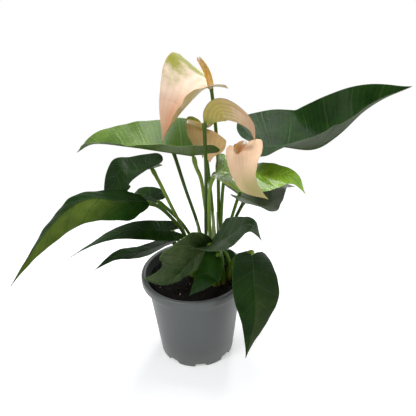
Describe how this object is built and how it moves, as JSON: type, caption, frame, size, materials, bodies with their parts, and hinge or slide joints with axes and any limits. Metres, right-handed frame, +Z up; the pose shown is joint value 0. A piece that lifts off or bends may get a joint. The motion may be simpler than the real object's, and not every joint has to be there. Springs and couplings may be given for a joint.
{
  "type": "potted anthurium",
  "caption": "Young anthurium in a round plastic nursery pot: heart-shaped glossy leaves and peach flower bracts on long thin stalks rising from dark potting mix.",
  "frame": {"origin": "centre of the pot's flat base, on the pot's axis, at the surface it stands on", "axes": "+Z up along the pot's axis, -Y towards the front, +X towards the longest leaf's side; the widest spread of the leaves runs along X"},
  "size_m": [0.4243, 0.1795, 0.3494],
  "materials": {
    "pot_grey": "smooth injection-moulded plastic with a low sheen",
    "soil_dark": "rough loose potting mix of peat and bark, dark and matt",
    "leaf_dark": "living leaf, waxy and glossy, dark green",
    "leaf_young": "living young leaf, waxy and glossy, mid green",
    "stem_green": "living leaf and flower stalks, satin green",
    "sheath_green": "thin pale green sheaths among the stalks",
    "spathe_peach": "waxy peach flower bract with a soft gloss",
    "spathe_green": "waxy green to peach flower bract, glossy",
    "spadix_yellow": "finely bumpy flower spike, matt yellow"
  },
  "bodies": {
    "root": {"pot": "pot_grey", "soil": "soil_dark", "leaf_1": "leaf_young", "stem_of_leaf_1": "stem_green", "leaf_2": "leaf_dark", "stem_of_leaf_2": "stem_green", "leaf_3": "leaf_young", "stem_of_leaf_3": "stem_green", "leaf_4": "leaf_dark", "stem_of_leaf_4": "stem_green", "leaf_5": "leaf_dark", "stem_of_leaf_5": "stem_green", "leaf_6": "leaf_dark", "stem_of_leaf_6": "stem_green", "leaf_7": "leaf_young", "stem_of_leaf_7": "stem_green", "leaf_8": "leaf_dark", "stem_of_leaf_8": "stem_green", "leaf_9": "leaf_dark", "stem_of_leaf_9": "stem_green", "leaf_10": "leaf_dark", "stem_of_leaf_10": "stem_green", "leaf_11": "leaf_dark", "stem_of_leaf_11": "stem_green", "leaf_12": "leaf_dark", "stem_of_leaf_12": "stem_green", "leaf_13": "leaf_dark", "stem_of_leaf_13": "stem_green", "leaf_14": "leaf_young", "stem_of_leaf_14": "stem_green", "leaf_15": "leaf_dark", "stem_of_leaf_15": "stem_green", "flower_1_spathe": "spathe_peach", "flower_1_spadix": "spadix_yellow", "flower_1_stem": "stem_green", "flower_2_spathe": "spathe_green", "flower_2_spadix": "spadix_yellow", "flower_2_stem": "stem_green", "flower_3_spathe": "spathe_peach", "flower_3_spadix": "spadix_yellow", "flower_3_stem": "stem_green", "flower_4_spathe": "spathe_peach", "flower_4_spadix": "spadix_yellow", "flower_4_stem": "stem_green", "sheath_1": "sheath_green", "sheath_2": "sheath_green", "sheath_3": "sheath_green"}
  },
  "joints": []
}
